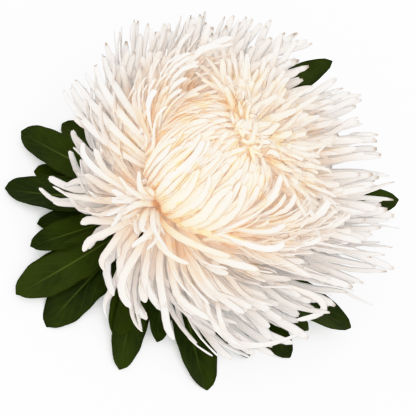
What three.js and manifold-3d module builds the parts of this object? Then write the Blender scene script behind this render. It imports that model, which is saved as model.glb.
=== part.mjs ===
// Dragon china aster: one picked bloom, cut short below the head and set down on its leafy bracts.
// Millimetres, +Z up. The head is modelled about the middle of its receptacle, with +Y the side
// that its florets lean back to and +X the side where they reach furthest, and is then moved so
// that the middle of its outer box stands over the origin with the lowest bracts on z = 0.

import * as THREE from 'three';
import { mergeVertices } from 'three/addons/utils/BufferGeometryUtils.js';
import Module from 'manifold-3d';

const wasm = await Module();
wasm.setup();

const DEGREE = Math.PI / 180;
const GOLDEN_ANGLE = 137.50776 * DEGREE;

// The head as a whole
const RECEPTACLE_HEIGHT = 11; // middle of the receptacle above the surface
const CROWN_MIDDLE = new THREE.Vector3(3.5, 4.5, 29); // off the receptacle's
const CROWN_RADIUS = 25;
const CROWN_FLATNESS = 0.9; // its height above its middle, as a share of its radius
const FLAT_TOP = 49; // above this the florets are pressed towards a level top
const TOP_ROOM = 3.5;
const FLORET_THICKNESS = 1.0;

// The head is fullest seen from this far off its axis, in front. Its florets lean away from there.
const FACE_TILT = 35 * DEGREE;
const SIDE = new THREE.Vector3(1, 0, 0);
const UPWARD = new THREE.Vector3(0, Math.cos(FACE_TILT), Math.sin(FACE_TILT));
const OUTWARD = new THREE.Vector3(0, -Math.sin(FACE_TILT), Math.cos(FACE_TILT));

// The head's outer form
const REACH = 64; // tips from the head's middle, on average
const REACH_SKEW = 13.5; // the further reach on the fuller side
const REACH_TURN = 40 * DEGREE; // direction of the fuller side, from +X
const BULGE = 3.4; // the further reach at the side across from it
const BULGE_TURN = 182 * DEGREE;
const DENT = 7; // the shorter reach at one place in front
const DENT_TURN = 318 * DEGREE;
const BULGE_SPAN = 0.75; // cosine at the edge of the bulge and the dent
const ENVELOPE_HEIGHT = 58;
const ENVELOPE_POWER = 2.5;

// Ray florets that stand out all round, from the lowest ring up to the crown. Angles in degrees.
const RADIATING_COUNT = 146;
const LOWEST = { mean: 7, moreAtBack: 9 };
const HIGHEST = { mean: 42, moreAtBack: 24, lessInFront: 27 };
const STEEPEST = { front: 37, moreAtBack: 43 }; // slope at which florets leave the receptacle
const SHORTER = { drawn: 0.12, upwards: 0.1 };
const SCATTER = { turn: 0.05, elevation: 0.03 }; // radians
const LEAVING_LIFT = 0.14; // slopes at the root and tip against the tip's elevation, radians
const ARRIVING = { below: 0.1, drawn: 0.35, levelled: 0.7 };
const LEAN = { least: 0.45, drawn: 0.4, moreAtSide: 0.25, lessInFront: 0.6, atRoot: 0.35 };
const EARLY_SHARE = 0.38; // handles of a floret's curve, as shares of its span
const LATE_SHARE = 0.34;
const RADIATING_WIDTH = { full: 4.4, moreUpAtBack: 0.3, atRoot: 0.3, lostAtTip: 0.6 };
const ROOT_RADIUS = { lowest: 6, lost: 0.7 };
const ROOT_RISE = { lowest: 2, more: 3 };
const TIP_SWEEP = 5; // how far the tips are carried to the fuller side
const PARTING_FOOT = new THREE.Vector3(-1.5, -7.5, 6.5); // where the front florets come up
const PARTING_RING = 2; // and how far apart

// Incurved florets, combed up over the crown from the parting to the whorl
const PARTING = new THREE.Vector3(-0.2, -0.55, -0.8); // seen from the crown's middle
const PARTING_SPREAD = 0.22;
const RIM_SPREAD = 98 * DEGREE;
const CREST = { x: [-1, 11, 6], y: [-2.7, -2.1, 8.6] }; // a curve across the top, by powers
const CROWN_COUNT = 28;
const CROWN_LAYERS = [25.5, 23.9]; // distance of neighbours from the crown's middle, in turn
const CROWN_START = 0.05; // share of the course at which florets come up out of the core
const CROWN_RISE = 0.15; // share of the course that they take to do so
const CROWN_ENDS = [0.97, 0.7, 0.84]; // and where they end
const CROWN_ROOT_DEPTH = 3;
const CROWN_SINK = 3.5; // into the whorl, from SINK_FROM on
const SINK_FROM = 0.8;
const CROWN_OVERLAP = 1.62; // a floret's width over the distance to the next course

// Collar florets, which keep to the crown's rim for a while and then spring free
const COLLAR_COUNT = 14;
const COLLAR_PLACES = { from: 0.45, over: 0.75 }; // shares of the crown's half width
const COLLAR_RADIUS = 23.5;
const COLLAR_ROOT_DEPTH = 3;
const COLLAR_END = { least: 0.42, drawn: 0.4 }; // shares of the course over the crown
const COLLAR_START = 0.45; // share of that at which the floret comes up
const COLLAR_FREE = 0.3; // and from which it springs free
const COLLAR_SPRING = { least: 3, drawn: 10 };
const COLLAR_SETTLE = 4;
const COLLAR_DRIFT = 2.5;
const COLLAR_WIDTH = 3.6;

// Broad florets that fall away from the whorl over the far side
const FAR_COUNT = 18;
const FAR_STEP = 0.6180339887; // between neighbours, as a share of the crest
const FAR_TURN = { middle: 74, spread: 86 };
const FAR_LENGTH = { longest: 24, shorterInside: 16, shorterAtEnds: 0.4 };
const FAR_RIM = { lowest: 0.9, more: 0.05, out: 2.5 }; // shares of the crown's radius
const FAR_ROOT = { out: -5, up: -12 };
const FAR_EARLY = { out: -2, up: 2 };
const FAR_LATE = { share: 0.55, up: 2.5 };
const FAR_TIP = { lowest: -5, more: 8 };
const FAR_FACING = 70 * DEGREE;
const FAR_WIDTH = 5.6;

// Leafy bracts. Each has the turn of its tip from +X in degrees, and in millimetres how far the
// tip reaches from the stalk, its height above the surface and its greatest width.
const RESTING = 0.45; // tip height of a bract that the head stands on
const BRACTS = [
  { turn: 199, reach: 54, tip: 3.5, width: 14 },
  { turn: 211, reach: 45, tip: RESTING, width: 11 },
  { turn: 222, reach: 55, tip: 2.0, width: 13 },
  { turn: 236, reach: 45, tip: 1.4, width: 9 },
  { turn: 246, reach: 52, tip: 5.0, width: 10 },
  { turn: 258, reach: 64, tip: 2.6, width: 14 },
  { turn: 271, reach: 62, tip: RESTING, width: 14 },
  { turn: 291, reach: 51, tip: 2.8, width: 13 },
  { turn: 297, reach: 61, tip: 1.2, width: 12 },
  { turn: 308, reach: 49, tip: 4.2, width: 9 },
  { turn: 326, reach: 64, tip: RESTING, width: 15 },
  { turn: 336, reach: 52, tip: 4.4, width: 10 },
  { turn: 344, reach: 58, tip: 1.6, width: 11 },
  { turn: 357, reach: 66, tip: RESTING, width: 15 },
  { turn: 365, reach: 64, tip: 6.5, width: 11 },
  { turn: 374, reach: 76, tip: 7, width: 14 },
  { turn: 391, reach: 56, tip: 2.0, width: 13 },
  { turn: 406, reach: 79, tip: 26, width: 13 },
  { turn: 424, reach: 54, tip: RESTING, width: 13 },
  { turn: 445, reach: 75, tip: 28, width: 14 },
  { turn: 462, reach: 50, tip: RESTING, width: 13 },
  { turn: 482, reach: 47, tip: 3.0, width: 12 },
  { turn: 503, reach: 45, tip: RESTING, width: 13 },
  { turn: 524, reach: 44, tip: 3.0, width: 12 },
  { turn: 543, reach: 44, tip: 1.2, width: 13 },
];
const EDGE_LEVEL = 0.3; // of a blade's thickness, from its centre line up to its edges
const BRACT_THICKNESS = 1.1;
const BRACT_KEEL = (1 - EDGE_LEVEL) * BRACT_THICKNESS;
const BRACT_GROOVE = 0.25 * BRACT_THICKNESS; // along the midrib
const BRACT_WIDEST = 0.58; // share of its length at which a bract is widest
const BRACT_WAIST = 0.3; // width at the root, as a share of the widest
const BRACT_POINT = 0.06; // and at the tip
const BRACT_ROOT_RADIUS = 3;
const BRACT_ROOT_HEIGHTS = [7.9, 6.6, 9.0]; // above the surface, in turn round the cup
const BRACT_EARLY = { reach: 0.42, settled: 0.12 }; // handles of its curve
const BRACT_LATE = { reach: 0.74, unrisen: 0.3 };
const FLATTENED = 0.3; // how deep a resting bract is pressed flat

// The packed middle of the head: radius and height of its profile, before it leans
const CORE_PROFILE = [[13, 4], [14, 11], [18, 19], [22, 27], [22.5, 33], [18.5, 41], [8, 47]];
const CORE_TOP = 48;

// The involucral cup under the florets, and the cut stalk
const CLEARANCE = 0.3; // between pieces of their own
const RECEPTACLE_BOTTOM = 0.2;
const CUP_DEPTH = 6;
const CUP_RADIUS = 8;
const CUP_PROFILE = [[0.7, 0.75], [1, 0.35]]; // shares of its radius and depth
const STALK_RADIUS = 2.1;
const STALK_END = 0.7; // height of the cut above the surface

// A draw between 0 and 1 that depends only on the two whole numbers given
function draw(index, salt) {
  let h = (Math.imul(index + 1, 0x9e3779b1) ^ Math.imul(salt + 1, 0x85ebca6b)) >>> 0;
  h = Math.imul(h ^ (h >>> 15), 0x2c1b3c6d) >>> 0;
  h = Math.imul(h ^ (h >>> 12), 0x297a2d39) >>> 0;
  return ((h ^ (h >>> 15)) >>> 0) / 4294967296;
}

function spread(index, salt) {
  return 2 * draw(index, salt) - 1;
}

// Unit vector at a turn from +X about Z and an elevation above the horizontal
function heading(turn, elevation) {
  return new THREE.Vector3(
    Math.cos(elevation) * Math.cos(turn),
    Math.cos(elevation) * Math.sin(turn),
    Math.sin(elevation),
  );
}

const between = THREE.MathUtils.lerp;

function smooth(low, high, value) {
  const t = Math.min(1, Math.max(0, (value - low) / (high - low)));
  return t * t * (3 - 2 * t);
}

// Sweeps a section along a curve: a face towards facing(s), and a keel behind it. The face is
// flat, or has its middle pressed in by the groove, as along a leaf's midrib.
function bladeGeometry({ curve, facing, width, thickness, stations, groove = 0 }) {
  const positions = [];
  const index = [];
  const corners = groove > 0 ? 4 : 3;
  stations.forEach((s) => {
    const centre = curve.getPoint(s);
    const tangent = curve.getTangent(s);
    const up = facing(s).clone();
    up.addScaledVector(tangent, -up.dot(tangent)).normalize();
    const side = new THREE.Vector3().crossVectors(tangent, up);
    const half = width(s) / 2;
    const place = (across, above) =>
      centre.clone().addScaledVector(side, across).addScaledVector(up, above);
    const ring = [place(-half, EDGE_LEVEL * thickness), place(half, EDGE_LEVEL * thickness)];
    if (corners === 4) ring.splice(1, 0, place(0, EDGE_LEVEL * thickness - groove));
    ring.push(place(0, (EDGE_LEVEL - 1) * thickness));
    ring.forEach((point) => positions.push(point.x, point.y, point.z));
  });
  for (let ring = 0; ring + 1 < stations.length; ring += 1) {
    for (let corner = 0; corner < corners; corner += 1) {
      const a = corners * ring + corner;
      const b = corners * ring + ((corner + 1) % corners);
      index.push(a, b, b + corners, a, b + corners, a + corners);
    }
  }
  const last = corners * (stations.length - 1);
  for (let corner = 1; corner + 1 < corners; corner += 1) {
    index.push(0, corner + 1, corner, last, last + corner, last + corner + 1);
  }
  const geometry = new THREE.BufferGeometry();
  geometry.setAttribute('position', new THREE.Float32BufferAttribute(positions, 3));
  geometry.setIndex(index);
  return geometry;
}

function solidOf(geometry) {
  const bare = geometry.clone();
  bare.deleteAttribute('normal');
  bare.deleteAttribute('uv');
  const merged = mergeVertices(bare, 1e-5);
  return new wasm.Manifold(
    new wasm.Mesh({
      numProp: 3,
      vertProperties: new Float32Array(merged.attributes.position.array),
      triVerts: new Uint32Array(merged.index.array),
    }),
  );
}

// Joins solids two by two, so that no join has to handle many small ones against one large
function joined(solids) {
  let row = solids;
  while (row.length > 1) {
    const next = [];
    for (let i = 0; i < row.length; i += 2) {
      next.push(i + 1 < row.length ? row[i].add(row[i + 1]) : row[i]);
    }
    row = next;
  }
  return row[0];
}

// The largest body of a solid, without loose scraps and with any sealed hollow filled
function geometryOf(solid) {
  const bodies = solid.decompose();
  const mesh = bodies.reduce((a, b) => (a.volume() > b.volume() ? a : b)).getMesh();
  const geometry = new THREE.BufferGeometry();
  geometry.setAttribute('position', new THREE.Float32BufferAttribute(mesh.vertProperties, 3));
  geometry.setIndex(new THREE.Uint32BufferAttribute(mesh.triVerts, 1));
  geometry.computeVertexNormals();
  return geometry;
}

// A point pressed down towards the head's level top
function pressed(point) {
  const over = Math.max(0, point.z - FLAT_TOP);
  point.z -= over - TOP_ROOM * Math.tanh(over / TOP_ROOM);
  return point;
}

// How far a tip stands from the receptacle in one direction
function envelopeReach(turn, elevation) {
  const bulge = BULGE * smooth(BULGE_SPAN, 1, Math.cos(turn - BULGE_TURN));
  const dent = DENT * smooth(BULGE_SPAN, 1, Math.cos(turn - DENT_TURN));
  const across = REACH + REACH_SKEW * Math.cos(turn - REACH_TURN) + bulge - dent;
  const flat = Math.abs(Math.cos(elevation)) / across;
  const tall = Math.abs(Math.sin(elevation)) / ENVELOPE_HEIGHT;
  return (flat ** ENVELOPE_POWER + tall ** ENVELOPE_POWER) ** (-1 / ENVELOPE_POWER);
}

// Elevation of a floret: rank runs from 0 for the lowest ring to 1 for the one by the crown
function radiatingElevation(index, rank, back) {
  const lowest = LOWEST.mean + LOWEST.moreAtBack * back;
  const atBack = HIGHEST.moreAtBack * smooth(0, 1, back);
  const highest = HIGHEST.mean + atBack - HIGHEST.lessInFront * smooth(0, 1, -back);
  const scatter = SCATTER.elevation * spread(index, 2);
  return (lowest + (highest - lowest) * rank) * DEGREE + scatter;
}

// Root of a floret: on a ring round the receptacle, or for the front ones at the parting
function radiatingRoot(turn, rank, back) {
  const radius = ROOT_RADIUS.lowest * (1 - ROOT_RADIUS.lost * rank);
  const root = heading(turn, 0).multiplyScalar(radius);
  root.z += ROOT_RISE.lowest + ROOT_RISE.more * rank;
  const foot = heading(turn, 0).multiplyScalar(PARTING_RING).add(PARTING_FOOT);
  return root.lerp(foot, smooth(0.2, 0.7, rank) * smooth(-0.45, 0.1, -back));
}

// A floret that stands out. It leaves its root away from the side that the tips lean to, and
// comes in to its tip along its own heading blended with that lean.
function radiatingFloret(index) {
  const rank = (index + 0.5) / RADIATING_COUNT;
  const turn = index * GOLDEN_ANGLE + SCATTER.turn * spread(index, 1);
  const back = Math.sin(turn); // 1 on the side that the head leans back to, -1 in front
  const front = smooth(0.25, 1, -back);
  const elevation = radiatingElevation(index, rank, back);
  const shorter = SHORTER.drawn * draw(index, 3) + SHORTER.upwards * rank * (1 - front);
  const reach = envelopeReach(turn, elevation) * (1 - shorter);
  const steepest = (STEEPEST.front + STEEPEST.moreAtBack * smooth(0.25, 0.85, back)) * DEGREE;
  const rising = Math.min(elevation + LEAVING_LIFT, steepest);
  const level = ARRIVING.levelled * rank * smooth(0, 0.8, back);
  const outgoing = elevation - ARRIVING.below + ARRIVING.drawn * spread(index, 4) - level;
  const root = radiatingRoot(turn, rank, back);
  const tip = heading(turn, elevation).multiplyScalar(reach);
  const sweep = TIP_SWEEP * (1 - rank) * Math.abs(Math.sin(turn - REACH_TURN));
  tip.addScaledVector(heading(REACH_TURN, 0), sweep);
  const sideways = smooth(-0.9, 0.2, Math.cos(turn));
  const lean = SIDE.clone().multiplyScalar(sideways).add(UPWARD).normalize();
  const drawn = LEAN.least + LEAN.drawn * draw(index, 15);
  const strength = drawn + LEAN.moreAtSide * smooth(0.2, 1, Math.cos(turn + 0.6));
  const leaning = strength * (1 - LEAN.lessInFront * front);
  const leaving = heading(turn, rising).addScaledVector(lean, -LEAN.atRoot * leaning).normalize();
  const arriving = heading(turn, outgoing).addScaledVector(lean, leaning).normalize();
  const span = tip.distanceTo(root);
  const early = root.clone().addScaledVector(leaving, EARLY_SHARE * span);
  const late = tip.clone().addScaledVector(arriving, -LATE_SHARE * span);
  const outward = heading(turn, elevation + Math.PI / 2);
  const broad = 1 + RADIATING_WIDTH.moreUpAtBack * rank * Math.max(0, back);
  const widening = (s) => between(RADIATING_WIDTH.atRoot, 1, smooth(0.15, 0.75, s));
  const narrowing = (s) => 1 - RADIATING_WIDTH.lostAtTip * smooth(0.82, 1, s);
  return bladeGeometry({
    curve: new THREE.CubicBezierCurve3(root, early, late, tip),
    facing: () => outward,
    width: (s) => RADIATING_WIDTH.full * broad * widening(s) * narrowing(s),
    thickness: FLORET_THICKNESS,
    stations: [0.08, 0.4, 0.64, 0.85, 1],
  });
}

// Direction of the crest, where combed florets end, seen from the crown's middle
function crestDirection(across) {
  const [x, y] = [CREST.x, CREST.y].map((c) => c[0] + c[1] * across + c[2] * across * across);
  return new THREE.Vector3(x, y, Math.sqrt(CROWN_RADIUS ** 2 - x ** 2 - y ** 2)).normalize();
}

// A direction from its shares along the head's side, upward and outward axes
function blended(side, upward, outward) {
  const direction = SIDE.clone().multiplyScalar(side);
  return direction.addScaledVector(UPWARD, upward).addScaledVector(OUTWARD, outward);
}

// The course of a combed floret over the crown: from the parting, by the face or along the rim,
// to a point on the crest. The height gives its distance from the crown's middle on the way.
class CrownCourse extends THREE.Curve {
  constructor(across, height, drift = () => 0) {
    super();
    const rim = RIM_SPREAD * across;
    const face = 1 - 0.8 * Math.min(across * across, 1);
    this.fan = new THREE.CubicBezierCurve3(
      PARTING.clone().addScaledVector(SIDE, PARTING_SPREAD * across),
      blended(Math.sin(rim), -0.95 * Math.cos(0.8 * rim), 0.85 * face),
      blended(1.15 * Math.sin(rim), 0.2 + 0.1 * across, 1.1 * face),
      crestDirection(across),
    );
    this.height = height;
    this.drift = drift;
  }

  direction(s) {
    return this.fan.getPoint(s).normalize();
  }

  getPoint(s) {
    const point = this.direction(s).multiplyScalar(this.height(s));
    if (point.z > 0) point.z *= CROWN_FLATNESS;
    point.add(CROWN_MIDDLE);
    const drift = this.drift(s);
    point.addScaledVector(OUTWARD, -COLLAR_SETTLE * drift);
    point.addScaledVector(UPWARD, COLLAR_DRIFT * drift);
    return pressed(point);
  }
}

function crownFloret(index) {
  const layer = CROWN_LAYERS[index % CROWN_LAYERS.length];
  const end = CROWN_ENDS[(2 * index) % CROWN_ENDS.length];
  const risen = (s) => smooth(CROWN_START, CROWN_START + CROWN_RISE, s);
  const rooted = (s) => CROWN_ROOT_DEPTH * (1 - risen(s));
  const height = (s) => layer - rooted(s) - CROWN_SINK * smooth(SINK_FROM, 1, s);
  const step = 2 / CROWN_COUNT;
  const across = (index + 0.5) * step - 1;
  const curve = new CrownCourse(across, height);
  const before = new CrownCourse(across - step / 2, height);
  const after = new CrownCourse(across + step / 2, height);
  return bladeGeometry({
    curve,
    facing: (s) => curve.direction(s),
    width: (s) => CROWN_OVERLAP * before.getPoint(s).distanceTo(after.getPoint(s)),
    thickness: FLORET_THICKNESS,
    stations: [0, 0.12, 0.3, 0.53, 0.77, 1].map((share) => between(CROWN_START, end, share)),
  });
}

// A collar floret: the ones on either side take turns, from the middle out to past the rim
function collarFloret(index) {
  const place = COLLAR_PLACES.from + (COLLAR_PLACES.over * (index + 0.5)) / COLLAR_COUNT;
  const across = index % 2 ? place : -place;
  const end = COLLAR_END.least + COLLAR_END.drawn * draw(index, 72);
  const spring = COLLAR_SPRING.least + COLLAR_SPRING.drawn * draw(index, 76);
  const free = (s) => smooth(COLLAR_FREE * end, end, s) ** 1.5;
  const risen = (s) => smooth(COLLAR_START * end, (COLLAR_START + 0.15) * end, s);
  const height = (s) => COLLAR_RADIUS - COLLAR_ROOT_DEPTH * (1 - risen(s)) + spring * free(s);
  const curve = new CrownCourse(across, height, free);
  const widening = (s) => between(0.4, 1, smooth(0, 0.5 * end, s));
  return bladeGeometry({
    curve,
    facing: (s) => curve.direction(s),
    width: (s) => COLLAR_WIDTH * widening(s) * (1 - 0.5 * smooth(0.7 * end, end, s)),
    thickness: FLORET_THICKNESS,
    stations: [COLLAR_START, 0.62, 0.8, 1].map((share) => share * end),
  });
}

// A far floret comes up under the crest and arches out level
function farFloret(index) {
  const rank = (index + 0.5) / FAR_COUNT;
  const across = 2 * (((index + 0.5) * FAR_STEP) % 1) - 1;
  const turn = (FAR_TURN.middle - FAR_TURN.spread * across) * DEGREE;
  const out = heading(turn, 0);
  const radius = CROWN_RADIUS * (FAR_RIM.lowest + FAR_RIM.more * rank);
  const rim = crestDirection(across).multiplyScalar(radius).add(CROWN_MIDDLE);
  rim.addScaledVector(out, FAR_RIM.out);
  const shorter = 1 - FAR_LENGTH.shorterAtEnds * across * across;
  const length = (FAR_LENGTH.longest - FAR_LENGTH.shorterInside * rank) * shorter;
  const at = (outwards, upwards) => {
    const point = rim.clone().addScaledVector(out, outwards);
    point.z += upwards;
    return pressed(point);
  };
  const root = at(FAR_ROOT.out, FAR_ROOT.up);
  const early = at(FAR_EARLY.out, FAR_EARLY.up);
  const late = at(FAR_LATE.share * length, FAR_LATE.up);
  const tip = at(length, FAR_TIP.lowest + FAR_TIP.more * rank);
  const widening = (s) => between(0.4, 1, smooth(0, 0.5, s));
  return bladeGeometry({
    curve: new THREE.CubicBezierCurve3(root, early, late, tip),
    facing: () => heading(turn, FAR_FACING),
    width: (s) => FAR_WIDTH * widening(s) * (1 - 0.5 * smooth(0.75, 1, s)),
    thickness: FLORET_THICKNESS,
    stations: [0.1, 0.45, 0.7, 0.88, 1],
  });
}

// The packed middle of the head, which every floret stands out of
function headCore() {
  const bottom = [[0, RECEPTACLE_BOTTOM], [CUP_RADIUS, RECEPTACLE_BOTTOM]];
  const outline = [...bottom, ...CORE_PROFILE, [0, CORE_TOP]];
  const profile = outline.map(([radius, height]) => new THREE.Vector2(radius, height));
  const geometry = new THREE.LatheGeometry(profile, 12);
  geometry.rotateX(Math.PI / 2);
  const points = geometry.attributes.position;
  for (let i = 0; i < points.count; i += 1) {
    const share = smooth(0, CROWN_MIDDLE.z, points.getZ(i));
    points.setX(i, points.getX(i) + CROWN_MIDDLE.x * share);
    points.setY(i, points.getY(i) + CROWN_MIDDLE.y * share);
  }
  return geometry;
}

function rayFlorets() {
  const repeated = (count, floret) => Array.from({ length: count }, (_, index) => floret(index));
  const florets = [
    headCore(),
    ...repeated(RADIATING_COUNT, radiatingFloret),
    ...repeated(CROWN_COUNT, crownFloret),
    ...repeated(COLLAR_COUNT, collarFloret),
    ...repeated(FAR_COUNT, farFloret),
  ];
  return joined(florets.map(solidOf));
}

// Share of a bract's full width left towards its tip, which is blunt with a short point
function bractTaper(s) {
  const share = Math.min(1, Math.max(0, (s - BRACT_WIDEST) / (1 - BRACT_WIDEST)));
  return between(BRACT_POINT, 1, (1 - share ** 2.5) ** 0.75);
}

// A leafy bract: narrow where it leaves the cup, widest past its middle
function bractGeometry({ turn, reach, tip, width }, index) {
  const angle = turn * DEGREE;
  const rootHeight = BRACT_ROOT_HEIGHTS[index % BRACT_ROOT_HEIGHTS.length];
  const end = tip === RESTING ? BRACT_KEEL - FLATTENED : tip;
  const at = (radius, height) => {
    const point = heading(angle, 0).multiplyScalar(radius);
    point.z = height - RECEPTACLE_HEIGHT;
    return point;
  };
  const curve = new THREE.CubicBezierCurve3(
    at(BRACT_ROOT_RADIUS, rootHeight),
    at(BRACT_EARLY.reach * reach, between(rootHeight, end, BRACT_EARLY.settled)),
    at(BRACT_LATE.reach * reach, between(end, rootHeight, tip > rootHeight ? BRACT_LATE.unrisen : 0)),
    at(reach, end),
  );
  return bladeGeometry({
    curve,
    facing: () => new THREE.Vector3(0, 0, 1),
    width: (s) => width * between(BRACT_WAIST, 1, smooth(0, BRACT_WIDEST, s)) * bractTaper(s),
    thickness: BRACT_THICKNESS,
    groove: BRACT_GROOVE,
    stations: [0, 0.25, 0.45, 0.62, 0.78, 0.9, 0.96, 1],
  });
}

function involucralCup() {
  const top = RECEPTACLE_BOTTOM - CLEARANCE;
  const side = CUP_PROFILE.map(([radius, depth]) => [radius * CUP_RADIUS, top - depth * CUP_DEPTH]);
  const under = [[0, top - CUP_DEPTH], [STALK_RADIUS, top - CUP_DEPTH]];
  const outline = [...under, ...side, [CUP_RADIUS, top], [0, top]];
  const profile = outline.map(([radius, height]) => new THREE.Vector2(radius, height));
  return new THREE.LatheGeometry(profile, 16).rotateX(Math.PI / 2);
}

function leafyBracts() {
  const solids = [involucralCup(), ...BRACTS.map(bractGeometry)].map(solidOf);
  const depth = 2 * RECEPTACLE_HEIGHT;
  const below = new THREE.BoxGeometry(6 * REACH, 6 * REACH, depth);
  below.translate(0, 0, -RECEPTACLE_HEIGHT - depth / 2);
  return joined(solids).subtract(solidOf(below));
}

function cutStalk() {
  const top = RECEPTACLE_BOTTOM - 2 * CLEARANCE - CUP_DEPTH;
  const bottom = STALK_END - RECEPTACLE_HEIGHT;
  const geometry = new THREE.CylinderGeometry(STALK_RADIUS, STALK_RADIUS, top - bottom, 12);
  geometry.rotateX(Math.PI / 2);
  return geometry.translate(0, 0, (top + bottom) / 2);
}

function finished(name, geometry, color, roughness) {
  const material = new THREE.MeshStandardMaterial({ color, roughness, metalness: 0 });
  const mesh = new THREE.Mesh(geometry, material);
  mesh.name = name;
  return mesh;
}

const group = new THREE.Group();
group.add(
  finished('ray_florets', geometryOf(rayFlorets()), 0xf3e8d6, 0.55),
  finished('leafy_bracts', geometryOf(leafyBracts()), 0x1f2e08, 0.45),
  finished('cut_stalk', cutStalk(), 0x6f8240, 0.6),
);

// Stands the lowest bracts on z = 0, with the middle of the outer box over the origin
const box = new THREE.Box3().setFromObject(group);
group.position.set(-(box.min.x + box.max.x) / 2, -(box.min.y + box.max.y) / 2, -box.min.z);

export default group;
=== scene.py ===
"""A picked dragon china aster: white ray florets over a ruff of leafy bracts, set down face up."""

import math
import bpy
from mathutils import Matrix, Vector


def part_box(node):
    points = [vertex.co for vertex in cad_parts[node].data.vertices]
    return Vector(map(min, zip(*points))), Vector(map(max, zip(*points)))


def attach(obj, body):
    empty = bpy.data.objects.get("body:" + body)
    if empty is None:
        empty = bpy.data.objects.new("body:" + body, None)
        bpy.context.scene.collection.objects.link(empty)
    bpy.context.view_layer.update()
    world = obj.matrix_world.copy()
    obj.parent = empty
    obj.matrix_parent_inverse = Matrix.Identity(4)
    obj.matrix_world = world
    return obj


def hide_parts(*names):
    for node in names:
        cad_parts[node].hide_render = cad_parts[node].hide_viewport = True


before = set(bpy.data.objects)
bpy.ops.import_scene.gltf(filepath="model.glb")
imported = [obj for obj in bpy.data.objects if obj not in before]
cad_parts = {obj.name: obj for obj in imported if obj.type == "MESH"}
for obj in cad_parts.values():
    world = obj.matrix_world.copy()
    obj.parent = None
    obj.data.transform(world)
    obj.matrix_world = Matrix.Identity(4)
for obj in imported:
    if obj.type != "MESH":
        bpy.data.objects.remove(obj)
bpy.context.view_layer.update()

from types import SimpleNamespace

import bpy
import numpy as np
from mathutils import Matrix, Vector

MM = 0.001
GOLDEN = math.radians(137.50776)
GOLDEN_SHARE = 0.6180339887  # of a whole
UPWARDS = np.array([0, 0, 1.0])

# The head, in millimetres about the middle of its receptacle, which stands over the cut stalk.
# +X is its fuller side and +Y the side that the crown leans back to.
stalk_low, stalk_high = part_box("cut_stalk")
RECEPTACLE_HEIGHT = 11.0
HEAD = np.array([
    (stalk_low.x + stalk_high.x) / 2,
    (stalk_low.y + stalk_high.y) / 2,
    RECEPTACLE_HEIGHT * MM,
])
CROWN = np.array([3.5, 4.5, 29.0])
CROWN_RADIUS = 25.0
CROWN_FLATNESS = 0.9  # its height above its middle, as a share of its radius

REACH, REACH_SKEW, REACH_TURN = 65.0, 13.5, math.radians(40)  # the skew is the fuller side's
# Places where the outline stands out or in: by how much, at what turn, and the cosine at its edge
SWELLS = [
    (5.2, math.radians(168), 0.92), (-5.0, math.radians(318), 0.75), (-17.0, math.radians(87), 0.986),
    (-7.0, math.radians(212), 0.96), (-3.0, math.radians(60), 0.96), (-8.5, math.radians(350), 0.965),
    (-3.5, math.radians(268), 0.96), (-8.0, math.radians(6), 0.985),
]
ENVELOPE_HEIGHT, ENVELOPE_POWER = 58.0, 2.5
TIP_SWEEP = 5.0  # how far low tips at the sides are carried towards the fuller side
ROOT_RADIUS = 6.0
TOP, TOP_ROOM = 49.0, 3.5  # height of the flat top, and the most that anything rises past it
TILT = math.radians(35)  # of the view of the head's best side off the bloom's axis


# Draws and directions

def draw(index, salt):
    """Draws between 0 and 1, each from its own whole number and the salt: 32-bit multiply, shift
    and exclusive-or, so the same numbers come out each time."""
    whole = np.asarray(index, dtype=np.uint64)
    mask = np.uint64(0xFFFFFFFF)
    h = ((whole + 1) * np.uint64(0x9E3779B1) & mask) ^ np.uint64((salt + 1) * 0x85EBCA6B & 0xFFFFFFFF)
    h = ((h ^ (h >> np.uint64(15))) * np.uint64(0x2C1B3C6D)) & mask
    h = ((h ^ (h >> np.uint64(12))) * np.uint64(0x297A2D39)) & mask
    return (h ^ (h >> np.uint64(15))).astype(float) / 4294967296.0


def spread(index, salt):
    """Draws between -1 and 1."""
    return 2 * draw(index, salt) - 1


def even(index):
    """Places between 0 and 1, each a golden share of the whole further on than the one before."""
    return np.mod((index + 0.5) * GOLDEN_SHARE, 1.0)


def smooth(low, high, value):
    """From 0 at the low value to 1 at the high one, by 3 t squared less 2 t cubed between."""
    t = np.clip((value - low) / (high - low), 0, 1)
    return t * t * (3 - 2 * t)


def heading(turn, elevation):
    """Unit vectors at a turn from +X about Z and an elevation above the horizontal."""
    turn, elevation = np.broadcast_arrays(turn, elevation)
    flat = np.cos(elevation)
    return np.stack([flat * np.cos(turn), flat * np.sin(turn), np.sin(elevation)], axis=-1)


def unit(vectors):
    """Vectors divided by their lengths."""
    return vectors / np.maximum(np.linalg.norm(vectors, axis=-1, keepdims=True), 1e-9)


def linked(name, data):
    """A new object that shows some data, in the scene's collection."""
    shown = bpy.data.objects.new(name, data)
    bpy.context.scene.collection.objects.link(shown)
    return shown


# Straps: every floret and bract is a centre line with a closed section carried along it

FLORET_ACROSS = np.array([-1.0, -0.5, 0.5, 1.0, 0.5, -0.5])
FLORET_UNDER = np.array([0, 0, 0, 0, 1, 1])
STATIONS = np.array([0.0, 0.14, 0.28, 0.41, 0.53, 0.64, 0.74, 0.83, 0.9, 0.96, 1.0])
AXIS_SIDE = np.array([1.0, 0, 0])
AXIS_UP = np.array([0, math.cos(TILT), math.sin(TILT)])
AXIS_OUT = np.array([0, -math.sin(TILT), math.cos(TILT)])


def placed(side, up, out):
    """Points from their places along the axes of the head's best side."""
    return side[..., None] * AXIS_SIDE + up[..., None] * AXIS_UP + out[..., None] * AXIS_OUT


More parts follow.
